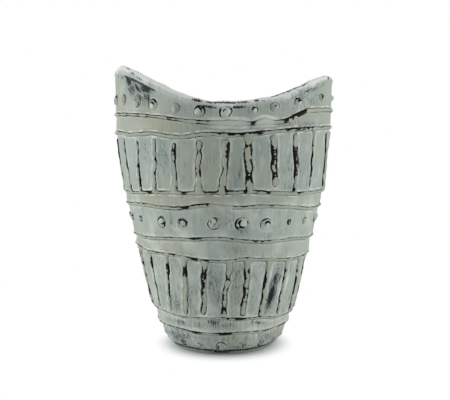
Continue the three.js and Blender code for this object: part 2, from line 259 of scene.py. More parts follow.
def add_sheet(name, along, across):
    """A flat grid to be laid on the vase, with the place of each vertex along and across it."""
    bpy.ops.object.select_all(action="DESELECT")
    bpy.ops.mesh.primitive_grid_add(x_subdivisions=along, y_subdivisions=across, size=1)
    sheet = bpy.context.object
    sheet.name = sheet.data.name = name
    flat = vertex_places(sheet.data)
    return sheet, flat[:, 0] + 0.5, flat[:, 1] + 0.5


def lay_sheet(sheet, points):
    sheet.data.vertices.foreach_set("co", (points * MM).astype(np.float32).ravel())
    sheet.data.update()


def mark(sheet, name, values):
    """Keeps one number for each vertex, for the material."""
    layer = sheet.data.attributes.new(name, "FLOAT", "POINT")
    layer.data.foreach_set("value", np.asarray(values, np.float32))


def weld(piece):
    """Joins the edges of a rolled-up sheet and smooths its faces."""
    bpy.context.view_layer.objects.active = piece
    bpy.ops.object.mode_set(mode="EDIT")
    bpy.ops.mesh.select_all(action="SELECT")
    bpy.ops.mesh.remove_doubles(threshold=WELD_REACH)
    bpy.ops.object.mode_set(mode="OBJECT")
    bpy.ops.object.shade_smooth()


def thicken(piece):
    """Gives a laid sheet its underside, bedded in the wall."""
    backing = piece.modifiers.new("backing", "SOLIDIFY")
    backing.thickness = BACKING * MM
    backing.offset = -1
    bpy.ops.object.modifier_apply(modifier=backing.name)
    bpy.ops.object.shade_smooth()


def dress(piece, material, node):
    """Gives a finished piece its material and puts it in the place of a solid."""
    piece.data.materials.append(material)
    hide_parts(node)
    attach(piece, "root")


# Materials

# What the material reads at each vertex: millimetres inside a strip's outline, where the glaze ends and how
# wide the slip shows there, how bare the clay is, how much thick glaze and painted highlight lies beside
# it, how much the brush shows, how thick the glaze is (with painted highlight in it on the lip, the top
# cordon and the pellets' crowns), how dark a smear is and how warm the glaze is
MARKS = ["inside", "glaze_edge", "line", "bare", "bead", "brushed", "pale", "smoke", "warm"]


def linear(hex_colour):
    """An sRGB hex colour as linear red, green, blue and alpha."""
    parts = [int(hex_colour[place:place + 2], 16) / 255 for place in (1, 3, 5)]
    light = [part / 12.92 if part <= 0.04045 else ((part + 0.055) / 1.055) ** 2.4 for part in parts]
    return light + [1.0]


def new_material(name):
    """A material with an empty node tree, and that tree."""
    material = bpy.data.materials.new(name)
    material.use_nodes = True
    material.node_tree.nodes.clear()
    return material, material.node_tree


def add_node(tree, kind, inputs=None, **settings):
    """Adds a node, sets its settings and fills its inputs with values, outputs or a node's first output."""
    node = tree.nodes.new("ShaderNode" + kind)
    for name, value in settings.items():
        setattr(node, name, value)
    for name, value in (inputs or {}).items():
        socket = node.inputs[name]
        if isinstance(value, bpy.types.Node):
            value = next(output for output in value.outputs if output.enabled)
        if isinstance(value, bpy.types.NodeSocket):
            tree.links.new(value, socket)
        else:
            socket.default_value = value
    return node


def rubbed_glaze(name, glaze, thin_glaze, warm_glaze, thick_glaze):
    """Pale matte glaze brushed over black slip on tan stoneware, then rubbed back by hand.

    The glaze is cloudy, and grey where it is thin. On raised clay it is rubbed off: the middle of a
    strip shows smooth tan clay, with a black line of slip round it and thick pale glaze beside it, painted
    near white there as a highlight along the strip's edge."""
    material, tree = new_material(name)
    place = add_node(tree, "TexCoord").outputs["Object"]
    inside, glaze_edge, line, bare, bead, brushed, pale, smoke, warm = [
        add_node(tree, "Attribute", attribute_name=mark_name).outputs["Fac"] for mark_name in MARKS]

    # Clouds 45 mm across, patches of 20 mm, upright brush streaks 2.5 mm wide and 40 mm long with hairs
    # of 1 by 12 mm in them, scratches of 1.2 by 12 mm along the rim, lines that thin and thicken every
    # 7 mm, islands of 2.4 mm and grit of 1.2 mm
    clouds = add_node(tree, "TexNoise", {"Vector": place, "Scale": 1 / 0.045, "Detail": 3.0})
    patches = add_node(tree, "TexNoise", {"Vector": place, "Scale": 1 / 0.020, "Detail": 3.0})
    upright = add_node(tree, "Mapping", {"Vector": place, "Scale": (400.0, 400.0, 25.0)})
    streaks = add_node(tree, "TexNoise", {"Vector": upright, "Scale": 1.0, "Detail": 3.0})
    finer = add_node(tree, "Mapping", {"Vector": place, "Scale": (1000.0, 1000.0, 85.0)})
    hairs = add_node(tree, "TexNoise", {"Vector": finer, "Scale": 1.0, "Detail": 1.0})
    along_rim = add_node(tree, "Mapping", {
        "Vector": place, "Rotation": (0.0, math.radians(29), math.radians(-50)),
        "Scale": (0.012, 0.0012, 0.0012)}, vector_type="TEXTURE")
    scratches = add_node(tree, "TexNoise", {"Vector": along_rim, "Scale": 1.0, "Detail": 1.0})
    pressure = add_node(tree, "TexNoise", {"Vector": place, "Scale": 1 / 0.007, "Detail": 1.0})
    islands = add_node(tree, "TexNoise", {"Vector": place, "Scale": 1 / 0.0024, "Detail": 1.0})
    grit = add_node(tree, "TexNoise", {"Vector": place, "Scale": 1 / 0.0012, "Detail": 2.0})

    # Cloudy glaze, grey where the brush left it thin and pale where it lies thick or carries painted
    # highlight
    cloud_share = add_node(tree, "MapRange", {"Value": clouds, "From Min": 0.35, "From Max": 0.65})
    warm_share = add_node(tree, "Math", {0: cloud_share, 1: warm}, operation="ADD", use_clamp=True)
    glazed = add_node(tree, "Mix", {
        "Factor": warm_share, "A": linear(glaze), "B": linear(warm_glaze)}, data_type="RGBA")
    brush = add_node(tree, "Math", {0: hairs, 1: 0.6, 2: streaks}, operation="MULTIPLY_ADD")
    thin_share = add_node(tree, "MapRange", {
        "Value": brush, "From Min": 0.80, "From Max": 1.04, "To Max": 0.85})
    patch_share = add_node(tree, "MapRange", {"Value": patches, "From Min": 0.40, "From Max": 0.60})
    thin = add_node(tree, "Math", {0: thin_share, 1: patch_share}, operation="MULTIPLY")
    thin = add_node(tree, "Math", {0: thin, 1: brushed}, operation="MULTIPLY")
    thin = add_node(tree, "Math", {0: smoke, 1: 1.3, 2: thin}, operation="MULTIPLY_ADD", use_clamp=True)
    streaked = add_node(tree, "Mix", {
        "Factor": thin, "A": glazed, "B": linear(thin_glaze)}, data_type="RGBA")
    thick_share = add_node(tree, "MapRange", {
        "Value": patches, "From Min": 0.50, "From Max": 0.32, "To Max": 0.6})
    thick_share = add_node(tree, "Math", {0: thick_share, 1: pale}, operation="ADD")
    brush_marks = add_node(tree, "Math", {0: thin_share, 1: brushed}, operation="MULTIPLY")
    thick = add_node(tree, "Math", {0: thick_share, 1: brush_marks}, operation="SUBTRACT", use_clamp=True)
    streaked = add_node(tree, "Mix", {
        "Factor": thick, "A": streaked, "B": linear(thick_glaze)}, data_type="RGBA")

    # Painted highlight beside a strip: thick glaze left where the rubbing cloth didn't reach, painted near
    # white, in patches
    painted_glint = add_node(tree, "MapRange", {"Value": inside, "From Min": -2.8, "From Max": -1.2})
    painted_glint = add_node(tree, "Math", {0: painted_glint, 1: bead}, operation="MULTIPLY")
    glint_share = add_node(tree, "MapRange", {
        "Value": pressure, "From Min": 0.36, "From Max": 0.64, "To Min": 0.1, "To Max": 0.8})
    painted_glint = add_node(tree, "Math", {0: painted_glint, 1: glint_share}, operation="MULTIPLY", use_clamp=True)
    glinted = add_node(tree, "Mix", {
        "Factor": painted_glint, "A": streaked, "B": linear("#DCE0DB")}, data_type="RGBA")

    # Slip showing where the glaze was wiped: dark smears broken by scratches, grit and streaks
    gritty = add_node(tree, "Math", {0: grit, 1: 1.1}, operation="MULTIPLY")
    broken = add_node(tree, "Math", {0: scratches, 1: 2.2, 2: gritty}, operation="MULTIPLY_ADD")
    broken = add_node(tree, "Math", {0: hairs, 1: 1.6, 2: broken}, operation="MULTIPLY_ADD")
    wiped = add_node(tree, "Math", {0: smoke, 1: 1.7, 2: broken}, operation="MULTIPLY_ADD")
    smoked = add_node(tree, "MapRange", {"Value": wiped, "From Min": 3.05, "From Max": 3.9})
    smoky = add_node(tree, "Mix", {
        "Factor": smoked, "A": glinted, "B": linear("#14191B")}, data_type="RGBA")

    # Inwards from a strip's outline first the glaze ends, then the line of slip, broken where it is wide
    coarse = add_node(tree, "Math", {0: islands, 1: 0.5}, operation="SUBTRACT")
    within = add_node(tree, "Math", {0: inside, 1: glaze_edge}, operation="SUBTRACT")
    past_glaze = add_node(tree, "Math", {0: coarse, 1: within}, operation="ADD")
    no_glaze = add_node(tree, "MapRange", {"Value": past_glaze, "From Min": -0.15, "From Max": 0.15})
    heavy = add_node(tree, "MapRange", {
        "Value": pressure, "From Min": 0.38, "From Max": 0.62, "To Min": 0.4, "To Max": 1.7})
    line_width = add_node(tree, "Math", {0: line, 1: heavy}, operation="MULTIPLY")
    line_width = add_node(tree, "Math", {0: line_width, 1: 3.3}, operation="MINIMUM")
    wide = add_node(tree, "Math", {0: line_width, 1: 1.3}, operation="SUBTRACT")
    wide = add_node(tree, "Math", {0: wide, 1: 0.0}, operation="MAXIMUM")
    brokenness = add_node(tree, "Math", {0: wide, 1: 2.4, 2: 1.2}, operation="MULTIPLY_ADD")
    past_slip = add_node(tree, "Math", {0: coarse, 1: brokenness, 2: within}, operation="MULTIPLY_ADD")
    past_slip = add_node(tree, "Math", {0: past_slip, 1: line_width}, operation="SUBTRACT")
    no_slip = add_node(tree, "MapRange", {"Value": past_slip, "From Min": -0.15, "From Max": 0.15})
    clay = add_node(tree, "Mix", {
        "Factor": cloud_share, "A": linear("#A3A798"), "B": linear("#ACAE9F")}, data_type="RGBA")
    veiled = add_node(tree, "Mix", {"Factor": bare, "A": streaked, "B": clay}, data_type="RGBA")
    rubbed = add_node(tree, "Mix", {
        "Factor": no_slip, "A": linear("#08090A"), "B": veiled}, data_type="RGBA")
    colour = add_node(tree, "Mix", {"Factor": no_glaze, "A": smoky, "B": rubbed}, data_type="RGBA")

    # Smoother where it is glazed, with shallow brush dents and grit
    roughness = add_node(tree, "MapRange", {"Value": no_glaze, "To Min": 0.55, "To Max": 0.68})
    dents = add_node(tree, "Bump", {"Height": streaks, "Strength": 0.25, "Distance": 0.0008})
    grain = add_node(tree, "Bump", {
        "Height": grit, "Strength": 0.25, "Distance": 0.0004, "Normal": dents})
    shader = add_node(tree, "BsdfPrincipled", {
        "Base Color": colour, "Roughness": roughness, "Normal": grain,
        "IOR": 1.5, "Specular IOR Level": 0.16})
    add_node(tree, "OutputMaterial", {"Surface": shader})
    return material


def bare_stoneware():
    """Fired stoneware without glaze, scraped flat on the bench: dry, sandy, with darker grog.

    Sand of 1.6 mm and clouds of 30 mm."""
    material, tree = new_material("bare_fired_stoneware")
    place = add_node(tree, "TexCoord").outputs["Object"]
    sand = add_node(tree, "TexNoise", {"Vector": place, "Scale": 1 / 0.0016, "Detail": 3.0})
    clouds = add_node(tree, "TexNoise", {"Vector": place, "Scale": 1 / 0.03, "Detail": 2.0})
    body = add_node(tree, "Mix", {
        "Factor": clouds, "A": linear("#888B82"), "B": linear("#9B9D93")}, data_type="RGBA")
    grog = add_node(tree, "MapRange", {"Value": sand, "From Min": 0.58, "From Max": 0.72, "To Max": 0.6})
    colour = add_node(tree, "Mix", {"Factor": grog, "A": body, "B": linear("#5C564A")}, data_type="RGBA")
    grain = add_node(tree, "Bump", {"Height": sand, "Strength": 0.3, "Distance": 0.0005})
    shader = add_node(tree, "BsdfPrincipled", {
        "Base Color": colour, "Roughness": 0.8, "Normal": grain, "IOR": 1.5})
    add_node(tree, "OutputMaterial", {"Surface": shader})
    return material


GLAZE, THIN_GLAZE, WARM_GLAZE = "#A5AEA6", "#7C8788", "#A8AA9A"
wall_glaze = rubbed_glaze("matte_glaze_over_black_slip", GLAZE, THIN_GLAZE, WARM_GLAZE, "#C4CAC3")
# The relief's glaze is a copy whose thick glaze is paler than the wall's, partly as painted highlight on
# the raised clay
relief_glaze = rubbed_glaze("glaze_rubbed_off_tan_clay", GLAZE, THIN_GLAZE, WARM_GLAZE, "#D0D5CE")
# The lip's glaze: a lighter copy with near-white thick glaze, for the painted highlight over its top
lit_lip_glaze = rubbed_glaze("rolled_lip_glaze_with_painted_highlight", GLAZE, "#8E9797", WARM_GLAZE, "#E8EAE7")
foot_clay = bare_stoneware()

# Wall: one sheet rolled round, up the outside, over the top and down the inside

WALL_COLUMNS = 540
OFF_RELIEF = -20.0      # distance inside an outline, where there is none
ZONE_ROWS = [12, 4, 8, 4, 24, 4, 8, 4, 14, 4, 6, 4, 20, 4, 6, 4, 34]
INSIDE_ROWS = 12

# Smears where the glaze was wiped off the slip: angle, height, half length, half thickness, darkness, tilt
SMEARS = [
    (-54, 268.5, 6, 4.6, 1.25, -30), (-46.5, 261.5, 8, 1.8, 1.25, -43),
    (-40, 260.2, 7.5, 3.8, 1.3, -24), (-38.5, 250.5, 9, 1.6, 1.05, 90), (-51.5, 260, 9, 6, 0.72, -40),
    (-43, 254, 13, 9, 0.58, -30), (-46, 271.3, 1.4, 1.1, 1.3, -30), (-44.2, 270, 1.5, 1.1, 1.3, -30),
    (-42.6, 268.7, 1.6, 1.0, 1.1, -30), (-50, 275, 4.5, 1.5, 0.8, -30),
    (-56, 281.5, 4.5, 1.3, 0.75, -20), (-68, 275.5, 1.6, 1.5, 0.9, 0), (-61, 273.1, 2.6, 1.5, 0.8, -30),
    (15.5, 248.0, 4, 1.0, 0.9, 5), (20, 248.6, 4, 0.9, 0.7, 15), (68, 273.5, 4, 1.5, 1.1, 20),
    (60, 266, 5, 1.3, 0.65, 25), (51, 261, 2, 1.4, 0.7, 20), (46, 259, 9, 1.6, 0.8, 23),
    (42, 251, 26, 13, 0.445, 0), (51, 261, 16, 4, 0.5, 20), (44, 225, 30, 6, 0.48, 0),
    (0, 222, 60, 6, 0.13, 0), (40, 190, 26, 20, 0.3, 90), (-20, 240, 10, 8, 0.12, 0),
    (-43, 204, 12, 9, 0.26, 90), (-31, 198, 14, 6, 0.36, 100), (8, 182, 8, 2.5, 0.45, 90),
    (18, 201, 14, 8, 0.2, 90), (-30, 135, 9, 4, 0.36, 90), (3, 137, 8, 9, 0.33, 0),
    (10, 129, 6, 5, 0.33, 0), (9, 111, 9, 5, 0.34, 0), (44, 107, 7, 4, 0.2, 0),
    (36.6, 69, 20, 6.4, 0.8, 77), (35.6, 63, 15, 4.6, 1.25, 79), (37.6, 81, 8, 3.4, 0.95, 74),
    (-35, 54, 8, 4, 0.4, 90), (-25, 66, 14, 3.5, 0.36, 95), (-6, 78, 19, 8, 0.36, 90),
    (-3, 60, 12, 7, 0.33, 90), (8, 76, 17, 5, 0.37, 90), (-46, 33.8, 12, 3, 0.34, -4),
    (-36, 33.8, 10, 3, 0.68, -4), (-21, 33.2, 12, 2.6, 0.48, 0), (-8, 36.8, 7, 5.5, 0.7, 0),
    (2, 33.8, 9, 2.6, 0.6, 2), (29, 34.4, 14, 2.6, 0.62, -10), (-66, 15, 6, 5, 0.5, 0),
    (-50, 13, 6, 4, 0.45, 0), (-22, 20, 8, 4, 0.25, 0), (-10, 21, 5, 4, 0.25, 0),
    (-46, 17, 22, 9, 0.64, 0), (25, 18, 8, 4, 0.3, 0), (41, 17, 12, 5, 0.52, 0),
    (11, 9.5, 6, 2, 0.6, 0), (20, 10.5, 4, 2, 0.65, 0),
]

# Dark lines on the lip: first and last angle, depth under the lip's top, half thickness, darkness
LIP_LINES = [
    (-61, -32, 8.4, 1.2, 1.25), (-17, -7, 2.2, 1.4, 1.15), (-11, 15, 1.5, 1.0, 1.0),
    (-12, -1, 6.0, 1.2, 1.0), (1, 13, 5.6, 1.1, 1.1), (20, 50, 0.3, 0.5, 0.9),
]
LIP_LINE_FADE = 5       # degrees over which such a line fades at its ends

# Slip left along the wall's foot, and the thinner glaze over it
FOOT_LINE_DARKNESS = 1.4
FOOT_LINE_REACH = 2.2
FOOT_SHADE_DARKNESS = 0.06
FOOT_SHADE_TOP = 26
FOOT_SHADE_FADE = 8


def smoke_at(turn, height):
    """Darkness of the smears at each point of the wall or lip."""
    smoke = FOOT_LINE_DARKNESS * np.exp(-((height - FOOT_HEIGHT) / FOOT_LINE_REACH) ** 4)
    smoke = smoke + FOOT_SHADE_DARKNESS * soft_step((FOOT_SHADE_TOP - height) / FOOT_SHADE_FADE)
    below_top = rim_top(turn) - height
    angle = np.degrees(turn)
    for first, last, depth, half_height, darkness in LIP_LINES:
        fade = soft_step((angle - first) / LIP_LINE_FADE) * soft_step((last - angle) / LIP_LINE_FADE)
        smoke = np.maximum(smoke, darkness * fade * np.exp(-((below_top - depth) / half_height) ** 2))
    for smear_angle, smear_height, half_length, half_thickness, darkness, tilt in SMEARS:
        right = turn_between(turn, math.radians(smear_angle)) * flare(height)
        up = height - smear_height
        slant = math.radians(tilt)
        lengthways = (right * math.cos(slant) + up * math.sin(slant)) / half_length
        crossways = (up * math.cos(slant) - right * math.sin(slant)) / half_thickness
        smoke = np.maximum(smoke, darkness * np.exp(-lengthways ** 2 - crossways ** 2))
    return smoke


# How much the brush shows, how thick and how warm the glaze is, by zone from the foot to the rim
BRUSHED = [0.9, 0.6, 1.0, 0.25, 0.5, 0.25, 0.7, 0.3, 0.35]
PALE = [0.25, 0.4, 0.2, 0.2, 0.15, 0.05, -0.2, -0.25, -0.05]
WARM = [0, 0, -0.2, 0, -0.4, 0.25, -0.3, 0.3, -0.1]
ZONE_EASE = 4           # millimetres over which one zone passes into the next

# Painted highlight under the lip, as thick pale glaze where the top of the collar faces the light: in
# front, how much more of it on the left, and how far down it reaches
LIP_HIGHLIGHT = 0.45
LIP_HIGHLIGHT_LEFT = 0.4
LIP_HIGHLIGHT_REACH = 6


def by_zone(turn, height, values):
    """One value for each zone between the cordons, easing over into the next."""
    value = np.full(np.shape(height), values[0])
    for edge, before, after in zip(wall_knots(turn)[1:-1:2], values, values[1:]):
        value = value + (after - before) * soft_step((height - edge) / ZONE_EASE)
    return value


def highlight_at_lip(turn):
    """How strong the painted highlight is at the lip's lower edge: most on the left."""
    return LIP_HIGHLIGHT - LIP_HIGHLIGHT_LEFT * np.sin(turn)


def paleness(turn, height):
    """How thick the glaze lies on the wall: by zone, with painted highlight just under the lip."""
    under_lip = soft_step(1 + (height - rim_seat(turn)) / LIP_HIGHLIGHT_REACH)
    return by_zone(turn, height, PALE) + highlight_at_lip(turn) * under_lip


knot_steps = [step for zone, rows in enumerate(ZONE_ROWS) for step in zone + np.arange(rows) / rows]
knot_steps.append(float(len(ZONE_ROWS)))
column_turns = np.linspace(-np.pi, np.pi, WALL_COLUMNS + 1)
knots = np.array(wall_knots(column_turns))

row_heights, row_radii = [], []
for step in knot_steps:
    start = min(int(step), len(knots) - 2)
    heights = knots[start] + (knots[start + 1] - knots[start]) * (step - start)
    row_heights.append(heights)
    row_radii.append(wall_radius(column_turns, heights))
for step in np.linspace(0, 1, INSIDE_ROWS + 1):
    heights = knots[-1] + (FOOT_HEIGHT - knots[-1]) * step
    row_heights.append(heights)
    row_radii.append(inner_radius(column_turns, heights))
row_heights.append(row_heights[0])
row_radii.append(row_radii[0])
row_heights, row_radii = np.array(row_heights), np.array(row_radii)

wall, along, across = add_sheet("vase_wall", WALL_COLUMNS, len(row_heights) - 1)
column = np.round(along * WALL_COLUMNS).astype(int)
row = np.round(across * (len(row_heights) - 1)).astype(int)
turn, height, radius = column_turns[column], row_heights[row, column], row_radii[row, column]
lay_sheet(wall, round_the_axis(radius, turn, height))
mark(wall, "smoke", np.where(row < len(knot_steps), smoke_at(turn, height), 0))
mark(wall, "inside", np.full(len(turn), OFF_RELIEF))
mark(wall, "brushed", by_zone(turn, height, BRUSHED))
mark(wall, "pale", paleness(turn, height))
mark(wall, "warm", by_zone(turn, height, WARM))
weld(wall)
dress(wall, wall_glaze, "wall")

# Relief: strips of clay pressed on the wall and luted down, so that they run together where they meet

SKIRT = 4.4             # width of the smoothed slip beside a strip
PELLET_SKIRT = 2.0
SHOULDER = 1.1          # width of a strip's rounded edge
CREASE = 0.6            # where that edge starts, outside the outline
BEAD = 0.4              # clay pressed up beside a strip
BEAD_PLACE = -1.2
BEAD_WIDTHS = 1.5, 0.5  # of its outer and its inner side
BED = 0.25              # how deep the skirt's edge dips into the wall
BED_WIDTH = 1.0
GLAZE_END = -0.45       # from a strip's outline
GLAZED_BELOW = 0.35     # how bare a strip is at most where glaze covers its slip
GLAZED_EASE = 0.3
GLAZE_COVER = 5         # how far the glaze's end then moves inwards
CLAY_FROM = 0.4         # how bare a strip is where its clay starts to show
CLAY_EASE = 0.55


def run_together(first, second, fillet):
    """Distance inside the outline of two strips joined by a fillet."""
    near = np.maximum(fillet - np.abs(first - second), 0) / fillet
    return np.maximum(first, second) + near ** 2 * fillet / 4


def relief_lift(inside, lift, bead, skirt):
    """Height over the wall, from the distance inside a strip's outline: skirt, bead, crease and crown."""
    crown = lift * soft_step((inside + CREASE) / (CREASE + SHOULDER))
    bead_width = np.where(inside < BEAD_PLACE, *BEAD_WIDTHS)
    pressed_up = BEAD * bead * np.exp(-((inside - BEAD_PLACE) / bead_width) ** 2)
    return crown + pressed_up - BED * (1 - soft_step((inside + skirt) / BED_WIDTH))


def finish_strip(strip, turn, height, lift, inside, bead, bare, line, skirt=SKIRT, drawn=None, pale=0):
    """Lays a strip on the wall and marks where its glaze and its slip were rubbed off.

    The slip follows the strip's outline, or else the lines that are drawn on it."""
    glazed_over = soft_step((GLAZED_BELOW - bare) / GLAZED_EASE)
    radius = wall_radius(turn, height) + relief_lift(inside, lift, bead, skirt)
    lay_sheet(strip, round_the_axis(radius, turn, height))
    mark(strip, "inside", inside if drawn is None else drawn)
    mark(strip, "glaze_edge", GLAZE_END + GLAZE_COVER * glazed_over)
    mark(strip, "line", line)
    mark(strip, "bare", soft_step((bare - CLAY_FROM) / CLAY_EASE))
    mark(strip, "bead", np.broadcast_to(bead, np.shape(inside)))
    mark(strip, "smoke", smoke_at(turn, height))
    mark(strip, "brushed", by_zone(turn, height, BRUSHED))
    mark(strip, "pale", paleness(turn, height) + pale)
    mark(strip, "warm", by_zone(turn, height, WARM))


def by_hand(hand, place):
    """Half width, bareness, blackness and its side, from a given table, at a place along a strip."""
    table = np.array(hand, float)
    return [np.interp(place, table[:, 0], column) for column in table[:, 1:].T]


def ripple(place, waves, start):
    """A sum of waves along a strip: depth, pace and how many times the start shifts each of them."""
    return sum(depth * np.sin(pace * place + shifts * start) for depth, pace, shifts in waves)


# Cordons: angle, half width, how bare of glaze, how black, and the lower edge's share of the black
CORDON_HAND = {
    "cordon_1": [
        (-90, 1.9, .75, .35, .6), (-62, 1.8, .75, .45, 1), (-56, 1.7, .75, .5, 1.5),
        (-40, 1.6, .75, .5, 1.6), (-22, 1.6, .8, .5, 1.5), (-20, 1.9, .85, .55, .6),
        (-16, 1.8, .85, .4, 1), (-13, 2, .9, .55, .8), (-7.5, 2, .9, .6, .7), (-5, 2.2, .7, .2, .6),
        (1, 2.6, .65, .15, .8), (8, 2.7, .65, .15, .8), (12, 2.2, .7, .2, .5), (13, 2, 1, .8, .8),
        (14.7, 2, 1, .8, .8), (16, 2.4, .65, .15, .8), (19, 3.1, .6, .15, .8), (24, 2.6, .65, .15, .8),
        (27.5, 2.2, 1, .4, .8), (29, 2.3, 1, 1, .4), (31, 2.4, 1, .9, .6), (33, 2.6, 1, .7, .3),
        (35, 3, 1, 1.15, .1), (44, 2.9, 1, 1.1, .1), (47, 2.4, 1, .6, .5), (49, 2.3, .95, .25, 1),
        (70, 2.3, .9, .3, 1), (90, 2.2, .9, .3, 1)],
    "cordon_2": [
        (-90, 2, .75, .3, .5), (-59, 2, .8, .35, .7), (-32, 2, .8, .3, .9), (-10, 2, .8, .35, .9),
        (-3, 2, .85, .5, .7), (-1, 2.2, 1, .95, .2), (8, 2.2, 1, .8, .2), (18, 2.2, 1, .95, .2),
        (20, 1.9, .7, .4, .3), (30, 1.9, .7, .4, .3), (31.7, 2.1, 1, .95, .2), (49, 2.1, 1, .9, .2),
        (52, 2, .8, .4, .5), (90, 2, .75, .35, .5)],
    "cordon_3": [
        (-90, 1.7, .6, .35, .8), (-46, 1.7, .6, .35, .8), (-45, 1.7, .7, .7, .4),
        (-40, 1.7, .7, .7, .4), (-38, 1.7, .65, .3, .8), (-35, 1.7, .7, .65, .5),
        (-31, 1.7, .7, .5, .6), (-28, 1.7, .75, .3, .8), (-22, 1.9, .9, .7, .5),
        (-15, 1.9, .9, .65, .5), (-13, 1.8, .8, .3, .5), (-9, 1.9, .9, .65, .6), (0, 1.9, .95, .65, .6),
        (12, 1.9, .95, .6, .6), (14, 1.9, .9, .35, .5), (16, 1.9, .95, .75, .5), (24, 2, .95, .7, .3),
        (26, 2, .85, .3, .5), (36, 2, .95, .6, .3), (45, 2, .9, .6, .3), (48, 1.9, .75, .3, .5),
        (90, 1.9, .7, .35, .5)],
    "cordon_4": [
        (-90, 1.9, .7, .3, .6), (-52, 1.9, .75, .4, .7), (-28, 1.9, .8, .45, .7), (-22, 2, .9, .75, .3),
        (-8, 2, .95, .85, .4), (-7, 1.6, .35, .1, .3), (4, 1.6, .3, .1, .3), (5, 1.9, .8, .45, .7),
        (16, 1.9, .8, .5, .7), (45, 1.9, .75, .35, .7), (90, 1.9, .7, .3, .6)],
    "cordon_5": [
        (-90, 1.9, .7, .3, .7), (-60, 1.9, .75, .4, .8), (-20, 1.9, .8, .4, .8),
        (-17, 2.1, .95, .85, .4), (-14, 2.1, .9, .7, .5), (-11, 1.9, .8, .35, .8), (4, 1.9, .8, .4, .8),
        (5, 2, .95, .75, .5), (7, 2, .95, .7, .5), (9, 1.9, .8, .35, .7), (17, 2, .9, .6, .6),
        (27, 2, .9, .6, .6), (30, 1.9, .8, .35, .7), (51, 1.9, .75, .35, .6), (90, 1.9, .7, .3, .6)],
    "cordon_6": [
        (-90, 1.7, .6, .3, .6), (-66, 1.7, .6, .35, .6), (-40, 1.7, .65, .45, .5),
        (-37, 1.7, .7, .65, .3), (-24, 1.7, .7, .6, .3), (-22, 1.9, .8, .9, .2), (-9, 1.9, .8, .9, .2),
        (-8, 1.8, .75, .35, .6), (6, 1.9, .85, .35, .6), (6.7, 2.1, 1, .9, .3), (9.5, 2.1, 1, .9, .3),
        (11, 2.1, .9, .4, .7), (55, 2, .85, .35, .8), (90, 1.9, .7, .3, .6)],
    "cordon_7": [
        (-90, 1.6, .6, .35, .5), (-55, 1.6, .6, .4, .5), (-30, 1.6, .6, .4, .5), (-8, 1.5, .5, .2, .4),
        (2, 1.8, .6, .2, .4), (3, 2.2, 1, 1, .1), (20, 2.2, 1, .95, .1), (21, 1.9, .8, .3, .5),
        (53, 1.9, .75, .35, .5), (90, 1.9, .7, .3, .5)],
    "cordon_8": [
        (-90, 1.9, .7, .35, .5), (-57, 1.9, .75, .4, .5), (-27, 1.9, .8, .45, .5),
        (-25, 2, .95, .85, .3), (-19, 2, .95, .85, .3), (-17, 1.9, .8, .4, .5), (-4, 1.9, .85, .45, .4),
        (-3, 2.1, 1, .95, .2), (6, 2.1, 1, .95, .2), (8, 1.9, .8, .4, .4), (47, 1.9, .75, .4, .5),
        (90, 1.9, .7, .35, .5)],
}
CORDON_TRIM = 0.5       # the black line's share of that half width
CORDON_WOBBLE = [(0.15, 23, 1), (0.1, 41, 0)]
CORDON_LIFT = 1.9
CORDON_SWELL = [(0.12, 17, 2), (0.1, 29, 0)]
CORDON_STEPS = 720
CORDON_ROWS = 28
LOWER_LINE = 1.2        # width of the black line under a cordon
UPPER_LINE = 1.5        # and over it, with what is added where it is heavy
UPPER_LINE_HEAVY = 0.9

# Creamy thick glaze and painted highlight on the front of the top cordon: angle and how much of it
CREAMY_GLAZE_AND_HIGHLIGHT = [(-12, 0), (-5, 0.6), (1, 0.9), (10, 0.9), (13, 0.3), (16, 0.9), (24, 1.1), (28, 0)]

# Rounding where ribs run into a cordon
FILLETS = {"cordon_2": 1.2, "cordon_3": 1.8, "cordon_6": 1.8, "cordon_7": 0.8}

# How much clay was pressed up on the lower and upper side of each cordon, from the foot to the top, and how
# strong the painted highlight beside it is: most on the upper sides, which face the light from above
CORDON_BEADS_AND_GLINTS = [
    (0.3, 0.5), (0.3, 0.9), (0.6, 0.5), (0.3, 0.6), (0.3, 0.6), (0.3, 1.2), (0.7, 1.2), (0.3, 1.1),
]


def cordon_hand(line, turn):
    """Half width, bareness, blackness and the lower edge's share of it, of a cordon at an angle."""
    half_width, bare, slip, side = by_hand(CORDON_HAND[line["name"]], front_angle(turn))
    return half_width - CORDON_TRIM + ripple(turn, CORDON_WOBBLE, line["ledge"]), bare, slip, side


def cordon_middle(line, turn):
    return (line["low"](turn) + line["high"](turn)) / 2


def cordon_inside(line, turn, height):
    return cordon_hand(line, turn)[0] - np.abs(height - cordon_middle(line, turn))
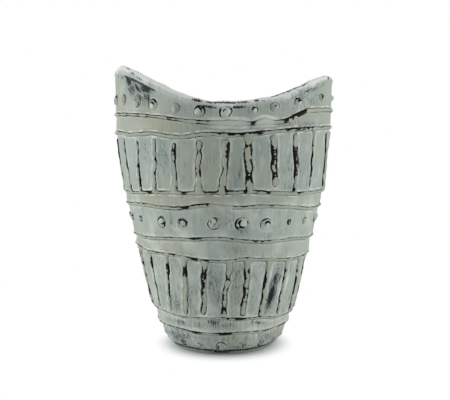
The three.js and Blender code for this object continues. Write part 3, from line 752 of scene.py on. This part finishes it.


# Ribs, from foot to head: place along, half width, how bare, how black, blacker edge (1 is right)
UPPER_RIBS = [
    [(0, 2.6, .8, .4, 0), (.1, 2, .65, .4, 0), (.2, 1.3, .4, .1, 0), (.25, 1.2, .45, .45, 0),
     (.4, 1.2, .4, .3, 0), (.5, 1.3, .5, .55, 0), (.65, 1.1, .4, .2, 0), (.75, 1.3, .45, .45, 0),
     (.9, 1.2, .4, .35, 0), (1, 1.1, .3, .1, 0)],
    [(0, 2.4, .8, .4, 0), (.1, 1.9, .7, .6, .4), (.25, 2, .75, .85, 0), (.4, 1.9, .7, 1, 0),
     (.5, 1.7, .5, .9, 0), (.6, 1.2, .45, .4, 0), (.75, 1.3, .45, .4, 0), (.88, 1.5, .55, .6, -.4),
     (.95, 1.9, .6, .7, 0), (1, 1.8, .5, .4, -.4)],
    [(0, 3, .85, .3, 0), (.15, 2.4, .8, .3, 0), (.22, 1.4, .45, .35, 0), (.35, 1.5, .5, .45, 0),
     (.5, 1.9, .65, .3, 0), (.6, 1.8, .55, .65, .5), (.7, 1.7, .55, .3, .5), (.85, 1.7, .6, .25, 0),
     (.93, 1.9, .6, .45, 0), (1, 2.1, .5, .4, 0)],
    [(0, 2.8, .85, .25, 0), (.15, 2.3, .85, .3, -.3), (.3, 2.1, .85, .4, .4), (.45, 1.9, .75, .6, -.5),
     (.6, 1.6, .6, .6, .5), (.75, 1.7, .7, .9, .4), (.9, 2, .85, 1, .2), (1, 2, .7, .9, 0)],
    [(0, 3.2, 1, .35, 0), (.12, 3.2, 1, .35, 0), (.2, 2.4, .8, .4, 0), (.25, 2, .1, .1, 0),
     (.3, 2, .2, .2, 0), (.35, 1.9, .7, .6, 0), (.42, 2.1, .7, .75, .3), (.5, 2.2, .75, .5, -.3),
     (.56, 1.9, .75, .8, 0), (.65, 2.1, .75, .45, .2), (.75, 2, .7, .45, -.2), (.84, 1.7, .7, .7, 0),
     (.92, 2.6, .75, .5, .2), (1, 2.6, .8, .6, 0)],
    [(0, 3.8, 1, .3, .3), (.15, 3.2, 1, .35, -.3), (.3, 2.4, 1, .45, 0), (.45, 2.2, .95, .8, .4),
     (.6, 2.4, 1, .8, .8), (.75, 2.8, 1, .85, .9), (.9, 3.2, 1, .8, .9), (1, 3, 1, .6, .5)],
    [(0, 3.2, 1, .3, 0), (.13, 3, 1, .6, 0), (.2, 2.9, 1, 1.1, 0), (.4, 3.1, 1, 1.1, 0),
     (.47, 3.4, 1, .75, 0), (.65, 3.7, 1, .6, 0), (.76, 3.3, 1, .75, 0), (.82, 2.7, 1, 1.2, 0),
     (.87, 3.2, 1, .45, 0), (1, 3.8, 1, .3, 0)],
    [(0, 2.8, .9, .25, 0), (.1, 3, 1, .25, 0), (.2, 2.6, 1, .8, 0), (.3, 2.8, 1, 1.05, 0),
     (.5, 3, 1, 1.1, 0), (.7, 3, 1, 1.1, 0), (.8, 2.8, 1, 1, 0), (.87, 3.2, 1, .4, 0),
     (1, 3.5, 1, .3, 0)],
    [(0, 2.7, .85, .3, 0), (.15, 2.2, .7, .35, 0), (.2, 1.6, .2, .15, 0), (.27, 1.9, .4, .4, 0),
     (.33, 2.4, .9, .95, 0), (.5, 2.7, .95, 1.1, 0), (.65, 2.9, 1, 1.05, 0), (.78, 2.8, 1, 1.1, 0),
     (.84, 2.9, 1, .4, 0), (1, 3.3, 1, .3, 0)],
    [(0, 1.6, .6, .35, 0), (.1, 1.8, .6, .4, 0), (.2, 1.6, .5, .55, 0), (.35, 1.6, .55, .45, -.4),
     (.5, 1.8, .7, .55, -.5), (.7, 2.1, .85, .5, -.5), (.85, 2.2, .9, .35, 0), (1, 2.6, .9, .3, 0)],
    [(0, 1.4, .4, .5, 0), (.3, 1.3, .5, .8, 0), (.6, 1.3, .4, .5, 0), (.8, 1.5, .5, .85, 0),
     (1, 1.6, .5, .6, 0)],
]
LOWER_RIBS = [
    [(0, 1.5, .5, .35, 0), (.3, 1.3, .5, .35, 0), (.6, 1.3, .5, .35, 0), (.75, 1.6, .55, .75, 0),
     (.85, 1.8, .6, 1, 0), (.92, 1.4, .4, .3, 0), (1, 2.4, .5, .1, 0)],
    [(0, 1.9, .6, .35, 0), (.15, 1.6, .6, .4, 0), (.4, 1.5, .6, .45, .3), (.6, 1.6, .6, .5, 0),
     (.75, 1.9, .7, .9, -.2), (.83, 2, .6, 1, 0), (.87, 1.8, .6, .5, 0), (.92, 1.7, .5, .2, 0),
     (1, 2.8, .5, .1, 0)],
    [(0, 2.2, .8, .5, 0), (.1, 2.4, .9, .45, 0), (.4, 2.2, .95, .45, 0), (.65, 2.1, .95, .5, -.2),
     (.75, 2.2, .95, 1, -.4), (.84, 2.2, .9, 1.2, 0), (.89, 2, .7, .3, 0), (1, 3.6, .7, .25, 0)],
    [(0, 2.4, .8, .5, -.2), (.1, 2.4, .9, .5, -.5), (.3, 2.2, .95, .65, -.8), (.5, 2.2, .95, .9, -.9),
     (.66, 2.3, .95, 1, -.8), (.76, 2.6, .95, 1.3, 0), (.84, 2.1, .9, 1, 0), (.9, 2.1, .7, .3, 0),
     (1, 3.4, .7, .25, 0)],
    [(0, 2.3, .9, .7, -.3), (.1, 2.2, .9, .8, -.4), (.22, 1.9, .8, .9, 0), (.35, 2, .85, .5, -.5),
     (.5, 2, .85, .65, 0), (.6, 2, .85, .45, 0), (.72, 1.9, .85, .7, 0), (.84, 2, .85, .35, 0),
     (1, 3.2, .9, .2, 0)],
    [(0, 2.6, .9, .5, -.3), (.12, 2.6, 1, .5, -.3), (.25, 2.3, 1, .75, -.3), (.45, 2.4, 1, .8, -.4),
     (.6, 2.3, 1, .65, -.4), (.72, 2.6, 1, .9, 0), (.8, 2.6, 1, .8, 0), (.86, 2.6, 1, .3, 0),
     (1, 4, 1, .2, 0)],
    [(0, 2.3, .9, .35, -.4), (.25, 2.2, .9, .35, -.7), (.45, 2.2, .95, .55, -.9),
     (.6, 2.3, .95, .8, -.9), (.76, 2.4, .95, .8, -.8), (.86, 2.6, .95, .3, -.5), (1, 3.8, 1, .15, 0)],
    [(0, 1.9, .8, .35, -.4), (.3, 2.1, .8, .3, -.7), (.6, 2.1, .85, .4, -.8), (.74, 2.3, .9, .6, -.4),
     (.8, 2.4, .9, 1, 0), (.85, 2.5, .95, .3, 0), (1, 3.8, 1, .15, 0)],
    [(0, 1.5, .5, .6, 0), (.4, 1.5, .5, .7, 0), (.7, 1.5, .5, .6, 0), (1, 2, .6, .3, 0)],
]
RIB_WOBBLE = [(0.25, 1 / 2.3, 1), (0.12, 1 / 1.1, 2)]
RIB_SWAY = [(0.8, 1 / 9, 5), (0.35, 1 / 2.7, 3)]
RIB_LIFT = 1.5
RIB_SWELL = [(0.1, 1 / 3.1, 3), (0.08, 1 / 1.7, 1)]
RIB_STEPS = 60
RIB_ROWS = 32
RIB_END = 2.2           # radius of a rib's rounded end
RIB_END_CORNERS = 0.5   # height within which the corners of its solid's end lie
RIB_BEDDING = 0.08      # how much lower a rib lies than the cordon that it runs into
RIB_WANDER = 1.7        # shifts the waves from one rib to the next
BLACKEST = 1.4          # most that one edge's share of the black can be
RIB_LINE = 1.3          # width of the black line, and what is added where it is heavy
RIB_LINE_HEAVY = 1.6

# How far each rib's foot and head stop short of the middle of the cordons there
UPPER_ENDS = [(0, 3), (0, 5), (0, 5), (0, 6), (0, 6), (0, 4.8), (0, 2), (6, 4.8), (0, 4.8), (5, 3), (2, 3)]
LOWER_ENDS = [(4, 0), (4.5, 0), (4.5, 0), (4.5, 0), (2.5, 0), (4.5, 0), (2.5, 0), (4, 0), (3, 0)]


def rib_turn(node):
    """Angles of the middle of a rib's foot and head."""
    points = corners(node)
    turns = []
    for end in (points[:, 2].min(), points[:, 2].max()):
        middle = points[np.abs(points[:, 2] - end) < RIB_END_CORNERS].mean(axis=0)
        turns.append(math.atan2(middle[0], -middle[1]))
    return turns


def read_rib(node, number, hand, ends, cordons):
    foot_turn, head_turn = rib_turn(node)
    foot = cordon_middle(cordons[0], foot_turn) + ends[0]
    head = cordon_middle(cordons[1], head_turn) - ends[1]
    return {"node": node, "wander": number * RIB_WANDER, "hand": hand, "cordons": cordons,
            "foot": foot, "length": head - foot, "foot_turn": foot_turn, "head_turn": head_turn}


def rib_hand(rib, at):
    """Half width, bareness, blackness and blacker edge of a rib at a height over its foot."""
    half_width, bare, slip, side = by_hand(rib["hand"], at / rib["length"])
    return half_width + ripple(at, RIB_WOBBLE, rib["wander"]), bare, slip, side


def rib_middle(rib, at):
    """Angle of the middle of a rib, which sways a little between its ends."""
    share = np.clip(at / rib["length"], 0, 1)
    sway = ripple(at, RIB_SWAY, rib["wander"]) * np.sin(np.pi * share)
    return rib["foot_turn"] + (rib["head_turn"] - rib["foot_turn"]) * share + sway / flare(rib["foot"] + at)


def rib_inside(rib, turn, height):
    at = height - rib["foot"]
    offset = turn_between(turn, rib_middle(rib, at)) * flare(height)
    past_end = at - np.clip(at, RIB_END, rib["length"] - RIB_END)
    return rib_hand(rib, at)[0] - np.hypot(offset, past_end)


def lay_rib(rib):
    piece, along, across = add_sheet("clay_" + rib["node"], RIB_STEPS, RIB_ROWS)
    at = along * (rib["length"] + 2 * SKIRT) - SKIRT
    half_width, bare, slip, side = rib_hand(rib, at)
    offset = -(across * 2 - 1) * (half_width + SKIRT)
    height = rib["foot"] + at
    turn = rib_middle(rib, at) + offset / flare(height)
    inside = rib_inside(rib, turn, height)
    for line in rib["cordons"]:
        inside = run_together(inside, cordon_inside(line, turn, height), FILLETS[line["name"]])
    slip = slip * np.clip(1 + side * offset / half_width, 0, BLACKEST)
    edge_line = RIB_LINE * slip + RIB_LINE_HEAVY * slip ** 3
    lift = RIB_LIFT * (1 + ripple(at, RIB_SWELL, rib["wander"])) - RIB_BEDDING
    finish_strip(piece, turn, height, lift, inside, 1, bare, edge_line)
    thicken(piece)
    dress(piece, relief_glaze, rib["node"])


ribs = []
for family, hands, ends, low, high in (
        ("upper_rib", UPPER_RIBS, UPPER_ENDS, "cordon_3", "cordon_2"),
        ("lower_rib", LOWER_RIBS, LOWER_ENDS, "cordon_7", "cordon_6")):
    cordons = [LINES[CORDON_NAMES.index(low)], LINES[CORDON_NAMES.index(high)]]
    nodes = sorted(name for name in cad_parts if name.startswith(family))
    for number, node in enumerate(nodes):
        ribs.append(read_rib(node, number, hands[number % len(hands)], ends[number % len(ends)], cordons))
for rib in ribs:
    lay_rib(rib)

for line, (low_bead, high_bead) in zip(LINES, CORDON_BEADS_AND_GLINTS):
    cordon, along, across = add_sheet("clay_" + line["name"], CORDON_STEPS, CORDON_ROWS)
    turn = (along * 2 - 1) * np.pi
    half_width, bare, slip, side = cordon_hand(line, turn)
    offset = (across * 2 - 1) * (half_width + SKIRT)
    height = cordon_middle(line, turn) + offset
    inside = half_width - np.abs(offset)
    for rib in ribs:
        if line in rib["cordons"]:
            inside = run_together(inside, rib_inside(rib, turn, height), FILLETS[line["name"]])
    lift = CORDON_LIFT * (1 + ripple(turn, CORDON_SWELL, 1))
    upper_share = soft_step(1 + offset / half_width)
    bead = low_bead + (high_bead - low_bead) * upper_share
    lower_line = LOWER_LINE * slip * side
    upper_line = UPPER_LINE * slip + UPPER_LINE_HEAVY * slip ** 4
    edge_line = lower_line + (upper_line - lower_line) * upper_share
    # painted highlight and creamy glaze along the top cordon's front
    pale = np.interp(np.degrees(turn), *zip(*CREAMY_GLAZE_AND_HIGHLIGHT)) if line is LINES[-1] else 0
    finish_strip(cordon, turn, height, lift, inside, bead, bare, edge_line, pale=pale)
    weld(cordon)
    thicken(cordon)
    dress(cordon, relief_glaze, line["name"])

# Pellets: where the wall's solid has one, a ball pressed on the wall by a fingertip

# Angle, radius, direction and size of the ring that the fingertip left, width of the black line
# round the pellet and round that ring, and how pale the crown is, partly rubbed clay and partly painted
# highlight
PELLET_HAND = {
    "foot_pellets": [
        (-68, 3, 0, .6, .3, .3, 0), (-41, 3.2, 0, .55, 1.1, 1, .1), (-24, 2.8, 270, .5, .8, .7, .1),
        (-1, 5, 270, .6, .7, 1, .1), (19, 2.6, 0, .5, .8, .6, .1), (39, 3.3, 90, .55, 1, .9, .1),
        (59, 3, 0, .6, .5, .4, 0)],
    "waist_pellets": [
        (-70, 3.8, 0, .6, .9, .6, .2), (-56, 2.8, 0, .7, .6, .5, .1), (-37, 5.2, 60, .62, 1.35, .9, .3),
        (-23, 5, 20, .68, .8, .85, .3), (-5, 5.6, 90, .5, 1, .85, .3), (10, 6, 0, .66, 1.15, 1.2, .9),
        (24, 5.2, 340, .55, 1, .9, .3), (41, 2.8, 0, .6, 1, .5, .6), (56, 3.6, 0, .75, .8, .6, .2),
        (72, 3.8, 0, .6, 1.1, .7, .2)],
    "collar_pellets": [
        (-60, 4.6, 0, .72, 1.7, 1.2, .1), (-47, 5.1, 270, .6, .9, 1.3, .3),
        (-35.5, 4.8, 225, .66, 1.4, .8, .5), (-23, 4.6, 270, .55, .5, 1, .4),
        (-11, 5.2, 200, .66, 1.1, .9, 1), (1, 5.5, 320, .62, 2.2, .9, 1), (14, 4.3, 0, .6, .5, .8, .9),
        (25, 4.3, 340, .5, .5, .9, .5), (39, 4.3, 350, .55, .7, 1.1, .4),
        (58, 3.6, 0, .7, 1.4, 1.3, .3), (82, 3.8, 0, .6, .6, .5, .2)],
}
PELLET_LIFT = {"foot_pellets": 0.9, "waist_pellets": 1.6, "collar_pellets": 1.7}
PELLET_ROWS = {"foot_pellets": (0, 40), "waist_pellets": (40, 180), "collar_pellets": (180, 300)}
PELLET_STEPS = 30
PELLET_ROOM = 1.15      # room on the sheet for an outline that isn't quite round
PELLET_BEAD = 0.35
PELLET_BARE = 0.4
PELLET_CROWN_BARE = 0.25
OVAL, THREE_CORNERED = 0.08, 0.05
RING_SHIFT = 0.8        # share of the room beside it that the ring is moved by
RING_CROWN = 0.2        # how far the clay inside the ring stands out, as a share of the lift
PELLET_EDGE = 0.25      # how far the edge stands out, as a share of the lift
PELLET_DOME = 0.8       # width of the dome's slope, as a share of the radius
CROWN_EASE = 0.6
BLACK_ROUND, BLACK_SIDE = 0.7, 0.5      # share of the black all round, and more of it on one side

# Telling the pellets of the wall's solid from its ledges: how far they stand out, how far apart they are
# and how far they stay from a cordon's middle
PELLET_PROUD = 1.2
PELLET_APART = 6
CORDON_CLEAR = 5

wall_points = corners("wall")
wall_turn, wall_reach = turn_and_radius(wall_points)
proud = wall_reach - plain_radius(wall_turn, wall_points[:, 2])
for line in LINES:
    proud[np.abs(wall_points[:, 2] - cordon_middle(line, wall_turn)) < CORDON_CLEAR] = 0
spots = []
for number in np.argsort(-proud):
    tip = wall_points[number]
    if proud[number] <= PELLET_PROUD:
        break
    if all(np.linalg.norm(tip - other) > PELLET_APART for other in spots):
        spots.append(tip)


def lay_pellet(name, spot):
    """Presses one pellet on the wall, as its neighbour in the table is given."""
    centre = math.atan2(spot[0], -spot[1])
    hands = np.array(PELLET_HAND[name], float)
    hand = hands[np.abs(hands[:, 0] - front_angle(centre)).argmin()]
    size, direction, ring_share, outer_line, ring_line, crown = hand[1:]
    pellet, along, across = add_sheet(name + "_one", PELLET_STEPS, PELLET_STEPS)
    reach = size * PELLET_ROOM + PELLET_SKIRT
    side, up = (along * 2 - 1) * reach, (across * 2 - 1) * reach
    round_turn = np.arctan2(up, side)
    lean = math.radians(direction)
    oval = OVAL * np.sin(2 * round_turn + centre) + THREE_CORNERED * np.sin(3 * round_turn - lean)
    inside = size * (1 + oval) - np.hypot(side, up)
    ring = ring_share * size
    shift = RING_SHIFT * (size - ring)
    in_ring = ring - np.hypot(side - shift * math.cos(lean), up - shift * math.sin(lean))
    drawn = np.minimum(inside, np.abs(in_ring))
    on_collar = name == "collar_pellets"
    black_turn = math.pi / 2 if on_collar else lean + math.pi
    blacker = BLACK_ROUND + BLACK_SIDE * np.cos(round_turn - black_turn)
    outer_slip = outer_line * blacker
    ring_slip = ring_line * (blacker if on_collar else 1)
    slip = outer_slip + (ring_slip - outer_slip) * soft_step(0.5 + inside - np.abs(in_ring))
    # Pale crown inside the ring: clay rubbed bare, and painted highlight
    pale = crown * soft_step(in_ring / (CROWN_EASE * ring))
    dome = soft_step((inside + CREASE) / (CREASE + PELLET_DOME * size))
    lift = PELLET_LIFT[name] * (dome + PELLET_EDGE + RING_CROWN * soft_step(0.5 + in_ring))
    height = spot[2] + up
    turn = centre + side / flare(height)
    bare = PELLET_BARE + PELLET_CROWN_BARE * pale
    finish_strip(pellet, turn, height, lift, inside, PELLET_BEAD, bare, slip, PELLET_SKIRT, drawn, pale)
    thicken(pellet)
    return pellet


for name, (low, high) in PELLET_ROWS.items():
    pellets = [lay_pellet(name, spot) for spot in spots if low <= spot[2] < high]
    bpy.ops.object.select_all(action="DESELECT")
    for pellet in pellets:
        pellet.select_set(True)
    bpy.context.view_layer.objects.active = pellets[0]
    bpy.ops.object.join()
    row_piece = bpy.context.object
    row_piece.name = row_piece.data.name = name
    dress(row_piece, relief_glaze, "wall")

# Lip: a coil rolled on to the top of the wall and smoothed over both edges

LIP_STEPS = 28
LIP_RISE = 0.2          # over the top of the solid's lip
LIP_OVERHANG = 0.7      # past the wall on both sides
LIP_SMOOTHED = 2.5      # how far its edges were smoothed down the wall
LIP_WOBBLE = [(0.35, 9, 0), (0.25, 22, 1), (0.2, 37, 2)]
LIP_BRUSHED = 0.4
# painted highlight over the lip's top, which faces the light from above
LIP_TOP_HIGHLIGHT = 1.1
LIP_EDGE_HIGHLIGHT = 0.35    # share of the wall's painted highlight under the lip that its lower edge has
LIP_HIGHLIGHT_EASE = 0.8

lip, along, across = add_sheet("rolled_lip", WALL_COLUMNS, LIP_STEPS)
turn = (along * 2 - 1) * np.pi
around = across * 2 * np.pi - np.pi / 2
swing = np.sin(around)
seat = rim_seat(turn)
crown = rim_top(turn) - seat + LIP_RISE
outside, inner = wall_radius(turn, seat), inner_radius(turn, seat)
middle, half = (outside + inner) / 2, (outside - inner) / 2 + LIP_OVERHANG
lip_radius = middle + half * np.cos(around)
lip_height = seat + np.where(swing > 0, crown * swing, LIP_SMOOTHED * swing)
uneven_top = ripple(turn, LIP_WOBBLE, 1) * np.maximum(swing, 0)
lay_sheet(lip, round_the_axis(lip_radius, turn, lip_height + uneven_top))
mark(lip, "smoke", smoke_at(turn, lip_height) * soft_step(0.6 + 2 * np.cos(around)))
mark(lip, "inside", np.full(len(turn), OFF_RELIEF))
mark(lip, "brushed", np.full(len(turn), LIP_BRUSHED))
# Painted highlight: pale at the lip's lower edge, near white over its top
lower_edge = LIP_EDGE_HIGHLIGHT * highlight_at_lip(turn)
mark(lip, "pale", lower_edge + (LIP_TOP_HIGHLIGHT - lower_edge) * soft_step(swing / LIP_HIGHLIGHT_EASE))
weld(lip)
dress(lip, lit_lip_glaze, "rim_coil")

# Base slab: a disc with a rounded edge and a raised floor inside the wall

SLAB_SIDES = 192
SLAB_EDGE = 4.0         # height of the edge that shows under the wall
SLAB_STEP = 49          # radius of the floor's foot, inside the wall
WORN_EDGE = 0.9
WORN_STEPS = 3
SMOOTH_ANGLE = 40       # degrees
SAME_HEIGHT = 0.1

slab_points = corners("base_slab")
slab_radius = turn_and_radius(slab_points)[1]
edge_radius = slab_radius[slab_points[:, 2] < SLAB_EDGE + SAME_HEIGHT].max()
floor_height = slab_points[:, 2].max()
floor_radius = slab_radius[slab_points[:, 2] > floor_height - SAME_HEIGHT].max()
floor_share = floor_radius / SLAB_STEP
bpy.ops.object.select_all(action="DESELECT")
bpy.ops.mesh.primitive_cylinder_add(
    vertices=SLAB_SIDES, radius=edge_radius * MM, depth=SLAB_EDGE * MM, location=(0, 0, SLAB_EDGE * MM / 2))
slab = bpy.context.object
slab.name = slab.data.name = "vase_base_slab"
bpy.ops.object.transform_apply(location=True, rotation=True, scale=True)
bpy.ops.object.mode_set(mode="EDIT")
bpy.ops.mesh.select_all(action="DESELECT")
bpy.ops.object.mode_set(mode="OBJECT")
for face in slab.data.polygons:
    face.select = face.normal.z > 0.9
bpy.ops.object.mode_set(mode="EDIT")
bpy.ops.mesh.inset(thickness=(edge_radius - SLAB_STEP) * MM, depth=0)
bpy.ops.mesh.extrude_region_move(
    TRANSFORM_OT_translate={"value": (0, 0, (floor_height - SLAB_EDGE) * MM)})
bpy.ops.transform.resize(value=(floor_share, floor_share, 1), center_override=(0, 0, floor_height * MM))
bpy.ops.object.mode_set(mode="OBJECT")
worn_edge = slab.modifiers.new("worn edge", "BEVEL")
worn_edge.width = WORN_EDGE * MM
worn_edge.segments = WORN_STEPS
worn_edge.limit_method = "ANGLE"
bpy.ops.object.modifier_apply(modifier=worn_edge.name)
bpy.ops.object.shade_smooth_by_angle(angle=math.radians(SMOOTH_ANGLE))
dress(slab, foot_clay, "base_slab")

# Stage: white floor, soft light from both sides and above; lengths in metres

FLOOR_SIZE = 6
SHADOW_MIDDLE = (0.001, -0.006, 0.0)
SHADOW_START, SHADOW_END = 0.046, 0.076     # where the shaded paper passes into plain white
WHITE_IN_SHADOW = 0.08
AIR_LIGHT = 0.44        # the white air's light on the vase; seen by the camera it is plain white

bpy.ops.object.select_all(action="DESELECT")
bpy.ops.mesh.primitive_plane_add(size=FLOOR_SIZE, location=(0, 0, 0))
floor = bpy.context.object
floor.name = floor.data.name = "studio_floor"
floor_paper, tree = new_material("white_studio_paper")
rays = add_node(tree, "LightPath")
place = add_node(tree, "TexCoord").outputs["Object"]
off_middle = add_node(tree, "VectorMath", {0: place, 1: SHADOW_MIDDLE}, operation="SUBTRACT")
away = add_node(tree, "VectorMath", {0: off_middle}, operation="LENGTH")
share = add_node(tree, "MapRange", {
    "Value": away, "From Min": SHADOW_START, "From Max": SHADOW_END,
    "To Min": WHITE_IN_SHADOW, "To Max": 1.0}, interpolation_type="SMOOTHSTEP")
share = add_node(tree, "Math", {0: share, 1: rays.outputs["Is Camera Ray"]}, operation="MULTIPLY")
paper = add_node(tree, "BsdfDiffuse", {"Color": linear("#F1FAF8")})
glow = add_node(tree, "Emission", {"Color": linear("#FFFFFF")})
bright = add_node(tree, "MixShader", {0: share, 1: paper, 2: glow})
add_node(tree, "OutputMaterial", {"Surface": bright})
floor.data.materials.append(floor_paper)

world = bpy.data.worlds.new("white_studio")
bpy.context.scene.world = world
world.use_nodes = True
tree = world.node_tree
tree.nodes.clear()
rays = add_node(tree, "LightPath")
seen = add_node(tree, "Math", {
    0: rays.outputs["Is Camera Ray"], 1: 1 - AIR_LIGHT, 2: AIR_LIGHT}, operation="MULTIPLY_ADD")
air = add_node(tree, "Background", {"Color": linear("#FFFFFF"), "Strength": seen})
add_node(tree, "OutputWorld", {"Surface": air})


def aim_at(thing, place, aim):
    """Turns a lamp or camera from its place towards its aim."""
    thing.rotation_euler = (Vector(aim) - Vector(place)).to_track_quat("-Z", "Y").to_euler()


def add_softbox(name, place, aim, size, power):
    bpy.ops.object.select_all(action="DESELECT")
    bpy.ops.object.light_add(type="AREA", location=place)
    lamp = bpy.context.object
    lamp.name = lamp.data.name = name
    lamp.data.shape = "SQUARE"
    lamp.data.size = size
    lamp.data.energy = power
    aim_at(lamp, place, aim)


add_softbox("left_softbox", (-1.1, -0.12, 0.10), (0, 0, 0.08), 0.5, 8.0)
add_softbox("right_softbox", (1.1, -0.12, 0.10), (0, 0, 0.08), 0.5, 7.2)
add_softbox("top_softbox", (0, -0.1, 1.3), (0, 0, 0.15), 1.1, 4)

CAMERA_PLACE = (0.0016, -0.765, 0.215)
CAMERA_AIM = (0.0016, 0.0, 0.150)
CAMERA_LENS = 58.5      # with a film 36 mm wide
bpy.ops.object.camera_add(location=CAMERA_PLACE)
camera = bpy.context.object
camera.name = camera.data.name = "photo_camera"
aim_at(camera, CAMERA_PLACE, CAMERA_AIM)
camera.data.lens = CAMERA_LENS
camera.data.sensor_width = 36
camera.data.sensor_fit = "HORIZONTAL"
camera.data.clip_start = 0.01
bpy.context.scene.camera = camera
bpy.context.scene.view_settings.view_transform = "Standard"
